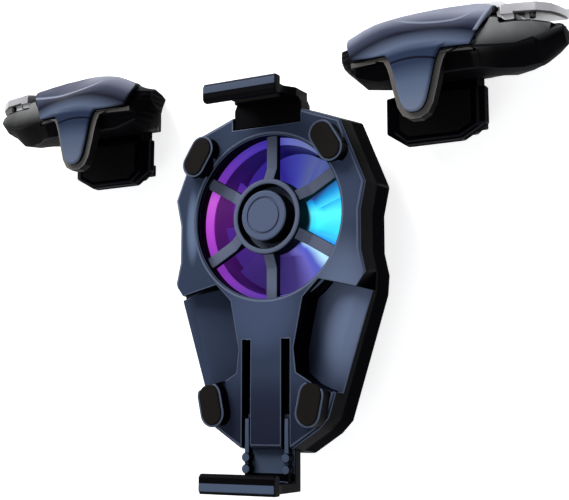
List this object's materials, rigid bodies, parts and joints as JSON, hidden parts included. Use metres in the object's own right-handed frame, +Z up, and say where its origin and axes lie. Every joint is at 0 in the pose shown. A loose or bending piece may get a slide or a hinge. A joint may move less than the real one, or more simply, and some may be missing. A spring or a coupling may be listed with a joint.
{
  "type": "phone game controller with cooling fan",
  "caption": "Clip-on phone fan cooler with a sliding clamp arm, rubber rests and lit fan, and a pair of shoulder triggers with sprung clamp jaws and finger levers.",
  "frame": {"origin": "where the fan's axis meets the flat back of the cooler, which is the surface that the set rests on", "axes": "+Z up out of the faces that meet the phone, +Y from the cooler's sliding arm to its fixed arm, +X to the right seen from the front"},
  "size_m": [0.137, 0.096, 0.029],
  "materials": {
    "slate": "satin slate grey",
    "black": "fine matte black",
    "hub": "satin slate",
    "light": "frosted, lit in changing colours",
    "board": "solder-masked circuit board",
    "bronze": "oil-filled bearing metal",
    "steel": "plain steel",
    "copper": "enamelled copper wire",
    "magnet": "dark, unpolished",
    "fan": "milky plastic that takes the light's colour",
    "rubber": "matte dark grey-brown",
    "shell": "glossy blue-violet paint",
    "wing": "matte dark grey",
    "lever": "bright satin metal"
  },
  "bodies": {
    "cooler": {"front_cover": "slate", "rear_housing": "black", "fan_guard": "slate", "hub_cap": "hub", "light_ring": "light", "led_board": "board", "leds": "light", "fan_duct": "black", "fan_bearing": "bronze", "fan_stator": "steel", "stator_coils": "copper", "top_arm": "slate", "top_arm_liner": "rubber", "arm_brake": "rubber", "cover_screws": "steel", "arm_screws": "steel", "rubber_pads": "rubber", "control_board": "board", "board_parts": "magnet", "usb_socket": "steel"},
    "fan": {"fan_rotor": "fan", "rotor_magnet": "magnet", "fan_shaft": "steel"},
    "arm": {"bottom_arm": "slate", "bottom_arm_liner": "rubber"},
    "right_trigger": {"right_shell": "shell", "right_rim": "wing", "right_housing": "wing", "right_rear_cover": "black", "right_rear_screws": "steel", "right_lever_pin": "steel", "right_lever_spring": "steel", "right_micro_switch": "black", "right_touch_pad": "lever", "right_contact_board": "board", "right_guide_rods": "steel", "right_clamp_springs": "steel"},
    "right_lever_arm": {"right_lever": "lever"},
    "right_jaw": {"right_clamp_jaw": "black", "right_jaw_pad": "rubber"},
    "right_plunger": {"right_switch_plunger": "hub"},
    "left_trigger": {"left_shell": "shell", "left_rim": "wing", "left_housing": "wing", "left_rear_cover": "black", "left_rear_screws": "steel", "left_lever_pin": "steel", "left_lever_spring": "steel", "left_micro_switch": "black", "left_touch_pad": "lever", "left_contact_board": "board", "left_guide_rods": "steel", "left_clamp_springs": "steel"},
    "left_lever_arm": {"left_lever": "lever"},
    "left_jaw": {"left_clamp_jaw": "black", "left_jaw_pad": "rubber"},
    "left_plunger": {"left_switch_plunger": "hub"}
  },
  "joints": [
    {"name": "fan_spin", "type": "hinge", "parent": "cooler", "child": "fan", "pos_m": [0, 0, 0.005], "axis": [0, 0, 1], "continuous": true},
    {"name": "arm_slide", "type": "slide", "parent": "cooler", "child": "arm", "axis": [0, -1, 0], "range_m": [-0.006, 0.008]},
    {"name": "right_trigger_lift", "type": "slide", "parent": "cooler", "child": "right_trigger", "axis": [0, 0, 1], "range_m": [0, 0.05]},
    {"name": "right_lever_press", "type": "hinge", "parent": "right_trigger", "child": "right_lever_arm", "pos_m": [0.0273, 0.0361, 0.006], "axis": [0, 0, -1], "range_deg": [0, 2.5], "stiffness_Nm_per_rad": 0.6, "springref_deg": -1.72},
    {"name": "right_jaw_slide", "type": "slide", "parent": "right_trigger", "child": "right_jaw", "axis": [0, 0, -1], "range_m": [0, 0.0024], "stiffness_N_per_m": 600, "springref_m": -0.005, "deforming": ["right_clamp_springs"]},
    {"name": "right_plunger_slide", "type": "slide", "parent": "right_trigger", "child": "right_plunger", "axis": [0, -1, 0], "range_m": [0, 0.0009]},
    {"name": "left_trigger_lift", "type": "slide", "parent": "cooler", "child": "left_trigger", "axis": [0, 0, 1], "range_m": [0, 0.05]},
    {"name": "left_lever_press", "type": "hinge", "parent": "left_trigger", "child": "left_lever_arm", "pos_m": [-0.0401, 0.0349, 0.006], "axis": [0, 0, 1], "range_deg": [0, 2.5], "stiffness_Nm_per_rad": 0.6, "springref_deg": -1.72},
    {"name": "left_jaw_slide", "type": "slide", "parent": "left_trigger", "child": "left_jaw", "axis": [0, 0, -1], "range_m": [0, 0.0024], "stiffness_N_per_m": 600, "springref_m": -0.005, "deforming": ["left_clamp_springs"]},
    {"name": "left_plunger_slide", "type": "slide", "parent": "left_trigger", "child": "left_plunger", "axis": [0, -1, 0], "range_m": [0, 0.0009]}
  ],
  "couplings": [
    {"joint": "right_plunger_slide", "follows": "right_lever_press", "m_per_rad": 0.0185},
    {"joint": "left_plunger_slide", "follows": "left_lever_press", "m_per_rad": 0.0185}
  ]
}
